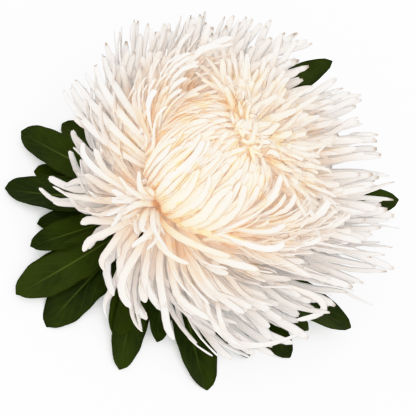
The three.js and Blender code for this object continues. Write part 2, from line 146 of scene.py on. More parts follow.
def carried(centre, facing, twist):
    """Side and up vectors along centre lines. The tangent is the difference of neighbouring
    points, up is the facing made square to it and turned about it by the twist."""
    tangent = unit(np.gradient(centre, axis=1))
    up = unit(facing - tangent * np.sum(facing * tangent, axis=-1, keepdims=True))
    side = np.cross(tangent, up)
    cos, sin = np.cos(twist)[..., None], np.sin(twist)[..., None]
    return tangent, side * cos + up * sin, up * cos - side * sin


def strap_points(centre, facing, twist, half_width, hollow, thickness, notch, section=None, relief=0.0):
    """Points of straps, one ring round each station. Across runs from one edge to the other on
    the upper face and back on the under face. A point lies at centre + across * half width *
    side + (hollow * across squared + relief - thickness if under) * up, and at the tip it is set
    back along the strap by the notch, which is a wave of across."""
    tangent, side, up = carried(centre, facing, twist)
    across, under = section or (FLORET_ACROSS, FLORET_UNDER)
    rise = hollow[..., None] * (across**2 - 0.35) - thickness[..., None] * under + relief
    shift = notch[..., None] * (0.5 - 0.5 * np.cos(2 * math.pi * across) + 0.6 * across**4)
    sideways = half_width[..., None] * across
    points = centre[:, :, None, :] + side[:, :, None, :] * sideways[..., None]
    points = points + up[:, :, None, :] * rise[..., None]
    return points - tangent[:, :, None, :] * shift[..., None]


def strap_mesh(name, points, along, section_across=FLORET_ACROSS, **attributes):
    """One mesh from straps given as straps x stations x section points in millimetres. Quads join
    each section to the next, and a face closes each end. The map holds across and along, and
    each attribute one number for each strap."""
    straps, stations, ring = points.shape[:3]
    number = np.arange(straps * stations * ring).reshape(straps, stations, ring)
    after = np.roll(number, -1, axis=2)
    quads = np.stack([number[:, :-1], number[:, 1:], after[:, 1:], after[:, :-1]], axis=-1)
    quads = quads.reshape(-1, 4)
    ends = np.concatenate([number[:, 0, :], number[:, -1, ::-1]])
    loops = np.concatenate([quads.ravel(), ends.ravel()])
    sizes = np.concatenate([np.full(len(quads), 4), np.full(len(ends), ring)])
    mesh = bpy.data.meshes.new(name)
    mesh.vertices.add(number.size)
    mesh.vertices.foreach_set("co", (points.reshape(-1, 3) * MM + HEAD).ravel())
    mesh.loops.add(len(loops))
    mesh.loops.foreach_set("vertex_index", loops.astype(np.int32))
    mesh.polygons.add(len(sizes))
    starts = np.concatenate([[0], np.cumsum(sizes)[:-1]])
    mesh.polygons.foreach_set("loop_start", starts.astype(np.int32))
    mesh.polygons.foreach_set("use_smooth", np.ones(len(sizes), dtype=bool))
    across = np.broadcast_to(0.5 + 0.5 * section_across, (straps, stations, ring))
    length = np.broadcast_to(along[:, :, None], (straps, stations, ring))
    grid = np.stack([across, length], axis=-1).reshape(-1, 2)
    mesh.uv_layers.new(name="strap").data.foreach_set("uv", grid[loops].astype(np.float32).ravel())
    for key, values in attributes.items():
        layer = mesh.attributes.new(key, "FLOAT", "POINT")
        layer.data.foreach_set("value", np.repeat(values, stations * ring).astype(np.float32))
    mesh.update()
    mesh.validate()
    return linked(name, mesh)


def bezier(start, early, late, end, s):
    """Cubic Bezier centre lines: the four points weighted by the powers of s and 1 - s. The
    powers are one row for all straps, or one row for each."""
    s = np.atleast_2d(s)
    r = 1 - s
    weights = [r**3, 3 * r * r * s, 3 * r * s * s, s**3]
    controls = [start, early, late, end]
    return sum(weight[..., None] * point[:, None, :] for weight, point in zip(weights, controls))


TIP_LENGTH = 0.1  # the last share of the length, which rounds off
TIP_WIDTH = 0.32  # the share of the width that is left where it ends


def tip_taper(s, narrowing):
    """Share of the width left near the tip: over its last half the floret narrows by the given
    share, and over the tip it rounds off as a quarter of an ellipse."""
    end = np.clip((s - (1 - TIP_LENGTH)) / TIP_LENGTH, 0, 1)
    rounded = TIP_WIDTH + (1 - TIP_WIDTH) * np.sqrt(1 - end**2)
    return (1 - narrowing * smooth(0.5, 1, s)) * rounded


def lowered(centre):
    """Centre lines under the head's flat top: what rises past the height is squeezed towards a
    limit above it by a hyperbolic tangent."""
    over = np.clip(centre[..., 2] - TOP, 0, None)
    squeezed = centre.copy()
    squeezed[..., 2] -= over - TOP_ROOM * np.tanh(over / TOP_ROOM)
    return squeezed


FLORET_THICKNESS = 0.34  # at the root
DEEPEST_NOTCH = 0.9


def ripple(index, salt, height, pace, phase=0.0):
    """Waves that grow along straps: a height drawn for each strap, times the sine of the length
    times the pace with a phase added, times the length."""
    return (height * spread(index, salt))[:, None] * np.sin(pace * STATIONS + phase) * STATIONS


def florets(centre, facing, index, salt, width, root_share, cup, turning, tilt=0.0, narrowing=0.3):
    """Floret points from their centre lines, and the share of the length at each station. Half
    the width grows from its root share to full over the first half and tapers to the tip, the
    cup is the hollow's share of it, and the twist is the tilt with a straight part and a cubed
    part of the length, drawn for each floret."""
    s = STATIONS
    twist = tilt + (0.6 * turning * spread(index, salt))[:, None] * s
    twist = twist + (turning * spread(index, salt + 1))[:, None] * s**3
    half = 0.5 * width[:, None] * (root_share + (1 - root_share) * smooth(0.05, 0.5, s))
    half = half * tip_taper(s, narrowing)
    hollow = cup * (0.5 + draw(index, salt + 2))[:, None] * half * (1 - 0.4 * smooth(0.6, 1, s))
    thickness = np.broadcast_to(FLORET_THICKNESS - 0.16 * s, half.shape)
    notch = (DEEPEST_NOTCH * draw(index, salt + 3))[:, None] * (s > 0.99)
    facing = np.broadcast_to(facing if facing.ndim == 3 else facing[:, None, :], centre.shape)
    points = strap_points(centre, facing, twist, half, hollow, thickness, notch)
    return points, np.broadcast_to(s, points.shape[:2])


# Ray florets that stand out all round

RADIATING = 1500
PARTING_FOOT = np.array([-1.5, -7.5, 6.5])  # where the front florets come up
RIGHT_TURN, SWEPT_TURN, LEFT_TURN = np.radians([5, 322, 220])
SHORT_SHARE = 0.16  # of the florets in the parting


def envelope_reach(turn, elevation):
    """How far tips stand from the receptacle: a rounded box form, its reach across a cosine of
    the turn with a few swells and dents, its height fixed."""
    across = REACH + REACH_SKEW * np.cos(turn - REACH_TURN)
    for height, place, edge in SWELLS:
        across = across + height * smooth(edge, 1, np.cos(turn - place))
    flat = np.abs(np.cos(elevation)) / across
    tall = np.abs(np.sin(elevation)) / ENVELOPE_HEIGHT
    return (flat**ENVELOPE_POWER + tall**ENVELOPE_POWER) ** (-1 / ENVELOPE_POWER)


def bundle(turn, rank, phase):
    """A smooth wave over the head, so that neighbouring florets bend alike."""
    return 0.6 * np.sin(4 * turn + 5 * rank + phase) + 0.4 * np.sin(9 * turn - 7 * rank + 2 * phase)


def sides(turn):
    """How much a turn belongs to each side of the head: smooth steps of its sine, or of its
    cosine from the middle of that side."""
    back = np.sin(turn)
    return SimpleNamespace(
        back=back,
        front=smooth(0.25, 1, -back),
        behind=smooth(-0.1, 0.6, back),
        right=smooth(0.5, 1, np.cos(turn - RIGHT_TURN)),
        swept=smooth(0.3, 1, np.cos(turn - SWEPT_TURN)),
        left=smooth(0.5, 1, np.cos(turn - LEFT_TURN)),
    )


def radiating_elevation(index, rank, side):
    """Elevations from a side's lowest, for rank 0, to its highest, which is steepest behind and
    flattest in front."""
    lowest = np.radians(7 + 9 * side.back)
    highest = np.radians(42 + 20 * side.behind - 27 * smooth(0, 1, -side.back))
    return lowest + (highest - lowest) * rank + 0.05 * spread(index, 2)


def radiating_reach(index, turn, rank, elevation, side):
    """The envelope's reach times what a draw leaves of it, times less for the high ones behind,
    at the left and where the tips sweep round."""
    reach = envelope_reach(turn, elevation)
    reach = reach * (1 - 0.3 * draw(index, 3) ** 1.5 - 0.08 * rank * (1 - side.front))
    reach = reach * (1 - 0.3 * side.behind * smooth(0.45, 0.85, rank))
    return reach * (1 - 0.6 * np.maximum(side.swept, side.left) * rank**0.8 * draw(index, 23))


def parted_share(turn, rank, side):
    """How much of a floret comes up in the parting: the high ones in front, the right ones least."""
    share = smooth(0.2, 0.7, rank) * smooth(-0.45, 0.1, -side.back)
    return share * (1 - 0.85 * smooth(0.1, 0.8, np.cos(turn)))


def radiating_roots(index, turn, rank, parted):
    """Roots on a circle that closes with the rank, moved to the parting's foot by their share."""
    root = heading(turn, 0) * (ROOT_RADIUS * (1 - 0.7 * rank))[:, None]
    root[:, 2] += 2 + 3 * rank
    foot = PARTING_FOOT + 2.0 * heading(turn, 0.0) + 1.5 * spread(index, 18)[:, None] * AXIS_SIDE
    return root + parted[:, None] * (foot - root)


def radiating_bends(index, turn, rank, side):
    """How far stations lie sideways and outwards of their Bezier: a wave that neighbours share,
    two ripples and a hook sideways, and a curl outwards, both near the tip."""
    s = STATIONS
    wave = (5.0 * bundle(turn, rank, 0.7) + 4.0 * spread(index, 5)) * (1 - 0.3 * side.front)
    bend = wave[:, None] * s * (1 - s) * 1.6 + ripple(index, 6, 2.0, 7)
    bend = bend + ripple(index, 28, 0.9, 13, 6 * draw(index, 29)[:, None])
    bend = bend + (5.0 * spread(index, 16) * draw(index, 17))[:, None] * smooth(0.68, 1, s)
    curl = 5.5 * draw(index, 7) ** 2 - 0.5 + 4.5 * side.left * draw(index, 21)
    return bend, curl[:, None] * smooth(0.74, 1, s)


def radiating_florets():
    """Florets from the receptacle to the head's envelope. Each is a cubic Bezier that leaves
    steeply, away from the side that all tips lean to, and comes in to its tip along its own
    heading blended with that lean. Some of those in the parting stay short."""
    index = np.arange(RADIATING)
    rank = (index + 0.5) / RADIATING
    turn = index * GOLDEN + 0.05 * spread(index, 1)
    side = sides(turn)
    sparse = 0.5 + 0.4 * side.front - 0.42 * side.behind - 0.3 * side.right * (1 - side.behind)
    kept = draw(index, 14) > sparse
    elevation = radiating_elevation(index, rank, side)
    parted = parted_share(turn, rank, side)
    short = (draw(index, 19) < SHORT_SHARE) & (parted > 0.6)
    reach = radiating_reach(index, turn, rank, elevation, side)
    reach = reach * np.where(short, 0.3 + 0.35 * draw(index, 20), 1.0)
    root = radiating_roots(index, turn, rank, parted)
    tip = heading(turn, elevation) * reach[:, None] + (short * 4.0)[:, None] * UPWARDS
    sweep = TIP_SWEEP * (1 - rank) * np.abs(np.sin(turn - REACH_TURN))
    tip += sweep[:, None] * heading(REACH_TURN, 0.0)
    span = np.linalg.norm(tip - root, axis=1, keepdims=True)
    lean = unit(AXIS_UP + smooth(-0.9, 0.2, np.cos(turn))[:, None] * AXIS_SIDE)
    strength = (0.45 + 0.4 * draw(index, 15)) * (1 - 0.6 * side.front)
    strength = (strength + (0.45 + 0.5 * draw(index, 24)) * side.swept)[:, None]
    rising = np.minimum(elevation + 0.14, np.radians(37 + 43 * smooth(0.25, 0.85, side.back)))
    outgoing = elevation - 0.1 + 0.35 * spread(index, 4) - 0.7 * rank * smooth(0, 0.8, side.back)
    early = root + 0.38 * span * unit(heading(turn, rising) - 0.35 * strength * lean)
    late = tip - 0.34 * span * unit(heading(turn, outgoing) + strength * lean)
    outward = heading(turn, elevation + math.pi / 2)
    sideways = heading(turn + math.pi / 2, 0.0)
    bend, curl = radiating_bends(index, turn, rank, side)
    centre = bezier(root, early, late, tip, STATIONS)
    centre = centre + bend[..., None] * sideways[:, None, :] + curl[..., None] * outward[:, None, :]
    width = 2.8 + 0.2 * side.front + 0.5 * side.right + 0.5 * spread(index, 10)
    width = width + 0.7 * rank * np.clip(side.back, 0, 1)
    points, along = florets(centre, outward, index, 8, width, 0.4, 0.6, 0.9, narrowing=0.15)
    cream = np.clip(0.9 * rank - 0.35, -0.1, 0.25 + 0.1 * side.behind)
    brown = 0.15 + 0.7 * smooth(-0.6, 0.3, side.back) * draw(index, 31) ** 0.7
    brown = brown * (1 - smooth(0.3, 0.6, rank))
    attributes = dict(tone=draw(index, 13)[kept], cream=cream[kept], brown=brown[kept])
    return points[kept], along[kept], rank[kept], attributes


# Incurved florets, combed up over the crown from its near rim to the whorl

CROWN_FLORETS = 205
CROWN_BURYING = 5.5  # how much deeper a floret lies at its root than at its tip
CROWN_FAN = math.radians(98)  # how far to each side its florets fan out


def crown_crest(around, side_shift, back_shift):
    """Unit directions of the crest from the crown's middle: a parabola across, on the sphere."""
    x = -1 + 11 * around + 6 * around**2 + side_shift
    y = -2.7 - 2.1 * around + 8.6 * around**2 + back_shift
    return unit(np.stack([x, y, np.sqrt(CROWN_RADIUS**2 - x**2 - y**2)], axis=-1))


def crown_course(around, way, index, salt):
    """Directions along florets over the crown: a cubic Bezier of a place under its rim, a point of
    the fan, a point of the face or rim and the crest, made unit. Along the rim the way keeps to
    the edge that is seen from the best side, and in the middle it runs up the face."""
    rim = CROWN_FAN * around
    face = 1 - 0.8 * np.minimum(around**2, 1)
    under = -0.3 + 0.06 * spread(index, salt)
    start = placed(0.95 * np.sin(0.72 * rim) - 0.1, -0.95 * np.cos(0.72 * rim), under)
    first = placed(np.sin(rim), -0.95 * np.cos(0.8 * rim), 0.85 * face)
    second = placed(1.15 * np.sin(rim), 0.2 + 0.1 * around, 1.1 * face)
    crest = crown_crest(around, 2.8 * spread(index, salt + 1), 2.8 * spread(index, salt + 2))
    return unit(bezier(start, first, second, crest, way))


def over_crown(direction, height, wander):
    """Points at a height from the crown's middle, the upper half flattened, moved by the wander
    across their course."""
    point = direction * height[..., None]
    point[..., 2] *= np.where(point[..., 2] > 0, CROWN_FLATNESS, 1.0)
    sideways = unit(np.cross(direction, np.gradient(direction, axis=1)))
    return CROWN + point + wander[..., None] * sideways


def crown_florets():
    """Florets that start under the rim, fan out over the crown's front half and end on the way
    to its crest or at it. A floret's tip lies on the crown and each place before it lies deeper
    by its distance from the tip, so that every tip overlaps the florets that go on past it. The
    last ones sink into the whorl, and tips lift a little."""
    index = np.arange(CROWN_FLORETS)
    around = 2.4 * even(index) - 1.3
    radius = CROWN_RADIUS + 0.4 + 0.4 * spread(index, 21)
    finish = 0.42 + 0.66 * draw(index, 25) ** 0.4
    s = STATIONS
    way = s[None, :] * finish[:, None]
    direction = crown_course(around + 0.09 * spread(index, 22), way, index, 36)
    buried = CROWN_BURYING * (finish[:, None] - way)
    lift = (1.1 * draw(index, 26) ** 2 * np.clip(1.1 - around**2, 0, 1))[:, None] * smooth(0.75, 1, s)
    height = radius[:, None] - buried + 3.0 * (1 - smooth(0, 0.3, way))
    height = height - 3.0 * smooth(0.84, 1.04, way) + lift
    wander = ripple(index, 27, 3.0, 3.6) + ripple(index, 35, 1.4, 10)
    centre = over_crown(direction, height, wander)
    width = 4.3 + 1.0 * spread(index, 30)
    points, along = florets(centre, direction, index, 44, width, 0.35, -0.3, 0.45, 0.3, 0.45)
    cream = 0.46 + 0.25 * draw(index, 34)
    return points, along, dict(tone=draw(index, 33), cream=cream)


# Collar florets, which keep to the crown's rim for a while and then spring free

COLLAR_FLORETS = 400


def collar_florets():
    """Florets along the crown's course near its rim whose distance from the crown's middle grows
    with the square of the length past the place where they spring free."""
    index = np.arange(COLLAR_FLORETS)
    sign = np.where(index % 2, 1.0, -1.0)
    around = sign * (0.45 + 0.75 * draw(index, 71) + 0.2 * (sign < 0))
    s = STATIONS
    finish = 0.42 + 0.4 * draw(index, 72)
    way = s[None, :] * finish[:, None]
    direction = crown_course(around, way, index, 73)
    free = smooth(0.3, 1, s) ** 1.5
    spring = (2 + 19 * draw(index, 76) ** 1.6)[:, None] * free
    start = CROWN_RADIUS - 2 + 2.0 * spread(index, 77)
    height = start[:, None] + 2.0 * (1 - smooth(0, 0.3, way)) + spring
    wander = (4.5 * spread(index, 78))[:, None] * s**2 + ripple(index, 79, 1.2, 9)
    centre = over_crown(direction, height, wander)
    settle = (2 + 8 * draw(index, 80))[:, None] * free
    aside = (5 * free)[:, None] * unit(AXIS_UP + 0.6 * AXIS_SIDE)
    centre = lowered(centre - settle[..., None] * AXIS_OUT + aside)
    width = 3.1 + 0.6 * spread(index, 81) + 1.2 * (draw(index, 88) < 0.12)
    points, along = florets(centre, direction, index, 82, width, 0.45, -0.5, 1.2)
    cream = 0.16 - 0.1 * (sign < 0) + 0.32 * draw(index, 86)
    return points, along, dict(tone=draw(index, 87), cream=cream)


# Broad cupped florets that fall away from the whorl over the far side

FAR_FLORETS = 190
FAR_TURN = 74  # degrees, the middle of the fan that they and the whorl's florets make


def far_florets():
    """Florets that come up under the crest and arch outwards over the far half, the lowest the
    longest. Each is a cubic Bezier from under the crest up past it and out to its tip."""
    index = np.arange(FAR_FLORETS)
    rank = (index + 0.5) / FAR_FLORETS
    around = 2 * even(index) - 1
    turn = np.radians(FAR_TURN - 92 * around + 9 * spread(index, 51))
    crest = CROWN_RADIUS * crown_crest(around, 0.0, 0.0)
    rim = CROWN + crest * (0.8 + 0.15 * rank)[:, None] + 2.5 * heading(turn, 0.0)
    length = (37 - 27 * rank + 5 * spread(index, 53)) * (1 - 0.3 * around**2)
    droop = -13 + 9 * rank + 2.5 * spread(index, 54)
    tip = rim + length[:, None] * heading(turn, 0.0)
    tip[:, 2] = np.minimum(rim[:, 2] + droop + 4 * rank, TOP + 0.5)
    root = rim - 5.0 * heading(turn, 0.0) - 12.0 * UPWARDS
    early = rim + UPWARDS - 2.0 * heading(turn, 0.0)
    late = rim + 0.6 * length[:, None] * heading(turn, 0.0) + UPWARDS
    late[:, 2] += 0.35 * droop
    s = STATIONS
    centre = bezier(root, early, late, tip, s)
    sideways = heading(turn + math.pi / 2, 0.0)
    wave = (6.0 * spread(index, 55))[:, None] * s**2
    wave = wave + (1.4 * spread(index, 56))[:, None] * np.sin(8 * s)
    curl = (0.5 + 4.0 * draw(index, 67) ** 2)[:, None] * smooth(0.7, 1, s)
    centre = lowered(centre + wave[..., None] * sideways[:, None, :] + curl[..., None] * UPWARDS)
    width = 3.2 + 0.8 * spread(index, 59)
    facing = heading(turn, math.radians(70))
    points, along = florets(centre, facing, index, 63, width, 0.5, 0.8, 0.45, narrowing=0.5)
    return points, along, dict(tone=draw(index, 62), cream=0.15 + 0.5 * rank)


# Short curled florets round the parting

PARTING_FLORETS = 46


def parting_florets():
    """Florets that come up in the parting and bend away from the crown. Each is a cubic Bezier
    whose tip stands on the slope that the front florets make, and it curls sideways."""
    index = np.arange(PARTING_FLORETS)
    lead = np.radians(195 + 135 * draw(index, 111))
    reach = 3 + 16 * draw(index, 112) ** 1.2
    root = placed(-2 + 1.6 * spread(index, 113), -3.8 + 1.2 * spread(index, 114), 9 + 0 * reach)
    away = placed(np.cos(lead), np.sin(lead), 0 * lead)
    tip = root + reach[:, None] * away + (3.0 + 1.4 * reach + 2 * draw(index, 115))[:, None] * AXIS_OUT
    early = root + (4 + 0.8 * reach)[:, None] * AXIS_OUT
    late = tip - (0.35 * reach)[:, None] * away + (2.5 * draw(index, 116))[:, None] * AXIS_OUT
    s = STATIONS
    sideways = np.cross(AXIS_OUT, away)
    hook = (7.0 * spread(index, 117))[:, None] * smooth(0.45, 1, s) ** 1.5
    centre = bezier(root, early, late, tip, s) + hook[..., None] * sideways[:, None, :]
    back = (3.5 * draw(index, 118))[:, None] * smooth(0.7, 1, s)
    centre = centre - back[..., None] * away[:, None, :]
    width = 2.4 + 0.6 * spread(index, 119)
    facing = unit(AXIS_OUT - 0.4 * away)
    points, along = florets(centre, facing, index, 120, width, 0.6, 0.5, 1.0, narrowing=0.45)
    cream = 0.5 + 0.5 * draw(index, 125) - 0.045 * reach
    return points, along, dict(tone=draw(index, 126), cream=cream)


# Single florets out of line: the four points of each centre line, then width, cream and brown

STRAYS = np.array([
    [(30.6, -14.1, 26), (43, -23, 32), (54, -18, 28), (61.3, 0, 16), (2.4, 0.0, 0.0)],
    [(34, -12, 26), (44, -20, 31), (50, -19, 28), (53, -14, 24), (2.6, 0.1, 0.0)],
    [(44, 5, 16), (58, 15, 16), (67, 14, 11), (57, 1.5, 16), (2.5, 0.0, 0.0)],
    [(24, 53, 17), (22.4, 49, 27), (24, 41, 32), (22.9, 35.1, 31.5), (0.9, 0.2, 1.0)],
    [(-10, -7, 20), (-20, -10, 26), (-31, -12, 22), (-33, -6, 22), (2.3, 0.0, 0.2)],
    [(-1.4, -4.7, 12), (4.2, -9, 25), (13.7, -6.6, 31), (27.8, 1.4, 27), (2.6, 0.8, 0.0)],
    [(-2.4, -4.7, 13), (6.4, -4, 28), (15.8, 0.7, 32), (30.2, 7.5, 27), (2.5, 0.9, 0.0)],
    [(-0.7, -5.4, 14), (3.5, -13, 28), (11.8, -14.1, 33), (19.3, -9.9, 29), (2.4, 0.75, 0.0)],
    [(-3, -4, 14), (-9, -6, 25), (-8, -1, 29), (-4, -2.5, 27), (2.6, 0.3, 0.0)],
    [(-12, 5, 18), (-25, 2, 28), (-41, 4, 22), (-50, 6.1, 11), (2.9, -0.1, 0.7)],
    [(-11, 3, 17), (-22, -2, 26), (-40, -3, 20), (-50.5, 1, 12), (2.7, -0.1, 0.5)],
    [(-13, 8, 19), (-27, 8, 29), (-39, 8, 24), (-49, 14.6, 12), (3.0, -0.1, 0.8)],
    [(-12, 6, 18), (-24, 6, 27), (-43, 8, 19), (-49.5, 9.9, 9), (2.6, -0.1, 0.6)],
    [(-10, 4, 17), (-26, 0, 26), (-42, 1, 17), (-49.5, 3.3, 9), (2.8, -0.1, 0.4)],
    [(-14, 10, 20), (-28, 11, 29), (-42, 13, 22), (-49, 18.6, 12), (2.7, -0.1, 0.9)],
])


def stray_florets():
    """Florets along cubic Beziers through the points of the table."""
    side, up, out = np.moveaxis(STRAYS[:, :4], -1, 0)
    start, early, late, end = np.moveaxis(placed(side, up, out), 1, 0)
    index = np.arange(len(STRAYS))
    centre = bezier(start, early, late, end, STATIONS)
    width, cream, brown = STRAYS[:, 4].T
    facing = np.broadcast_to(AXIS_OUT, start.shape)
    points, along = florets(centre, facing, index, 130, width, 0.6, 0.6, 0.9)
    return points, along, dict(tone=draw(index, 135), cream=cream, brown=brown)


# Small curled florets that fill the whorl

WHORL_FLORETS = 36


def whorl_florets():
    """Short florets that come up along the crest, curl over and end near where they came up: a
    cubic Bezier from a root under the crest up to a bow above it and down to the tip."""
    index = np.arange(WHORL_FLORETS)
    around = 0.9 * (2 * even(index) - 1)
    crest = CROWN_RADIUS * crown_crest(around, 2.2 * spread(index, 91), 2.2 * spread(index, 92))
    root = CROWN + 0.8 * crest
    rise = 4.8 + 2.0 * spread(index, 93)
    turn = np.radians(FAR_TURN - 86 * around) + 1.6 * spread(index, 94)
    over = heading(turn, 0.0)
    length = (2.5 + 4 * draw(index, 95))[:, None]
    tip = root + (0.55 * rise)[:, None] * UPWARDS + length * over
    early = root + (1.1 * rise)[:, None] * UPWARDS - 1.5 * over
    late = root + (1.35 * rise)[:, None] * UPWARDS + 0.7 * length * over
    sideways = heading(turn + math.pi / 2, 0.0)
    centre = lowered(bezier(root, early, late, tip, STATIONS))
    centre = centre + ripple(index, 96, 1.8, 5)[..., None] * sideways[:, None, :]
    width = 1.9 + 0.5 * spread(index, 97)
    facing = heading(turn + math.pi, math.radians(30))
    points, along = florets(centre, facing, index, 98, width, 0.6, -0.6, 0.9)
    return points, along, dict(tone=draw(index, 103), cream=0.35 + 0.4 * draw(index, 102))


# Materials

class Socket:
    """A shader socket on which arithmetic adds Math nodes."""

    def __init__(self, graph, link):
        self.graph, self.link = graph, link

    def _math(self, operation, *values):
        return self.graph.node("ShaderNodeMath", {"operation": operation}, *values)

    def __add__(self, other):
        return self._math("ADD", self, other)

    def __sub__(self, other):
        return self._math("SUBTRACT", self, other)

    def __rsub__(self, other):
        return self._math("SUBTRACT", other, self)

    def __mul__(self, other):
        return self._math("MULTIPLY", self, other)

    def __pow__(self, other):
        return self._math("POWER", self, other)

    __radd__, __rmul__ = __add__, __mul__


class Graph:
    """The nodes of one material, built round its Principled shader."""

    def __init__(self, name):
        self.material = bpy.data.materials.new(name)
        self.material.use_nodes = True
        self.tree = self.material.node_tree
        self.shader = self.tree.nodes["Principled BSDF"]

    def node(self, kind, settings=None, *values, out=0, **named):
        """Adds a node of a type, applies its settings, then sets or links its sockets, by order
        or by name, and gives back the chosen output."""
        made = self.tree.nodes.new(kind)
        for key, value in (settings or {}).items():
            if key == "stops":
                ramp = made.color_ramp
                while len(ramp.elements) < len(value):
                    ramp.elements.new(0.5)
                for element, (place, colour) in zip(ramp.elements, value):
                    element.position, element.color = place, (*colour, 1)
            else:
                setattr(made, key, value)
        for key, value in [*enumerate(values), *named.items()]:
            socket = made.inputs[key if isinstance(key, int) else key.replace("_", " ")]
            if isinstance(value, Socket):
                self.tree.links.new(value.link, socket)
            else:
                socket.default_value = value
        return Socket(self, made.outputs[out])

    def split(self, vector):
        """The three parts of a vector."""
        made = self.tree.nodes.new("ShaderNodeSeparateXYZ")
        self.tree.links.new(vector.link, made.inputs[0])
        return [Socket(self, made.outputs[axis]) for axis in range(3)]

    def blend(self, factor, first, second):
        """A colour that goes from the first to the second with the factor."""
        made = self.tree.nodes.new("ShaderNodeMix")
        made.data_type = "RGBA"
        for key, value in ((0, factor), (6, first), (7, second)):
            if isinstance(value, Socket):
                self.tree.links.new(value.link, made.inputs[key])
            else:
                made.inputs[key].default_value = value if key == 0 else (*value, 1)
        return Socket(self, made.outputs[2])

    def step(self, value, low, high):
        """From 0 at the low value to 1 at the high one, smoothly."""
        settings = {"interpolation_type": "SMOOTHSTEP"}
        return self.node("ShaderNodeMapRange", settings, value, low, high, 0.0, 1.0)

    def number(self, name):
        """An attribute of the piece that holds one number."""
        return self.node("ShaderNodeAttribute", {"attribute_name": name}, out="Fac")

    def distance(self, place, point):
        """How far a place is from a point of the scene."""
        point = tuple(map(float, point))
        return self.node("ShaderNodeVectorMath", {"operation": "DISTANCE"}, place, point, out="Value")

    def feed(self, **inputs):
        """Sets or links sockets of the shader."""
        for key, value in inputs.items():
            socket = self.shader.inputs[key.replace("_", " ")]
            if isinstance(value, Socket):
                self.tree.links.new(value.link, socket)
            else:
                socket.default_value = value


def linear(*srgb):
    """Linear colour from display colour values between 0 and 1."""
    return tuple(c / 12.92 if c <= 0.04045 else ((c + 0.055) / 1.055) ** 2.4 for c in srgb)


# From the tips' cool white to the roots' gold, which is partly the florets' own colour and partly
# painted golden shade deep among them
PETAL_STOPS = [
    (0.0, linear(0.935, 0.92, 0.915)), (0.28, linear(0.96, 0.915, 0.885)),
    (0.45, linear(0.965, 0.885, 0.83)), (0.62, linear(0.97, 0.865, 0.765)),
    (0.82, linear(0.975, 0.8, 0.54)),
]
# Painted grey shade at the edges of florets away from the crown
EDGE_SHADE_GREY = linear(0.83, 0.84, 0.85)
# Painted orange shade of the crevices between florets on the crown
CREVICE_SHADE_ORANGE = linear(0.98, 0.76, 0.45)
# Painted golden shade of the parting's hollow, on the golden roots seen in it
PARTING_SHADE_GOLD = linear(0.9, 0.64, 0.24)
CROWN_START, CROWN_END = 0.027, 0.048  # metres from its middle where its colour is full and gone
PARTING_MIDDLE = np.array([-2.0, -3.8, 18.0])  # along the axes of the head's best side
PARTING_START, PARTING_END = 0.003, 0.0075
RIB_PACE = 31.4  # five ribs across a floret
TIP_BROWN = linear(0.5, 0.4, 0.28)
PASSING_THIN, PASSING_DEEP = (0.6, 0.62, 0.6), (2.3, 1.8, 1.1)  # light that passes through


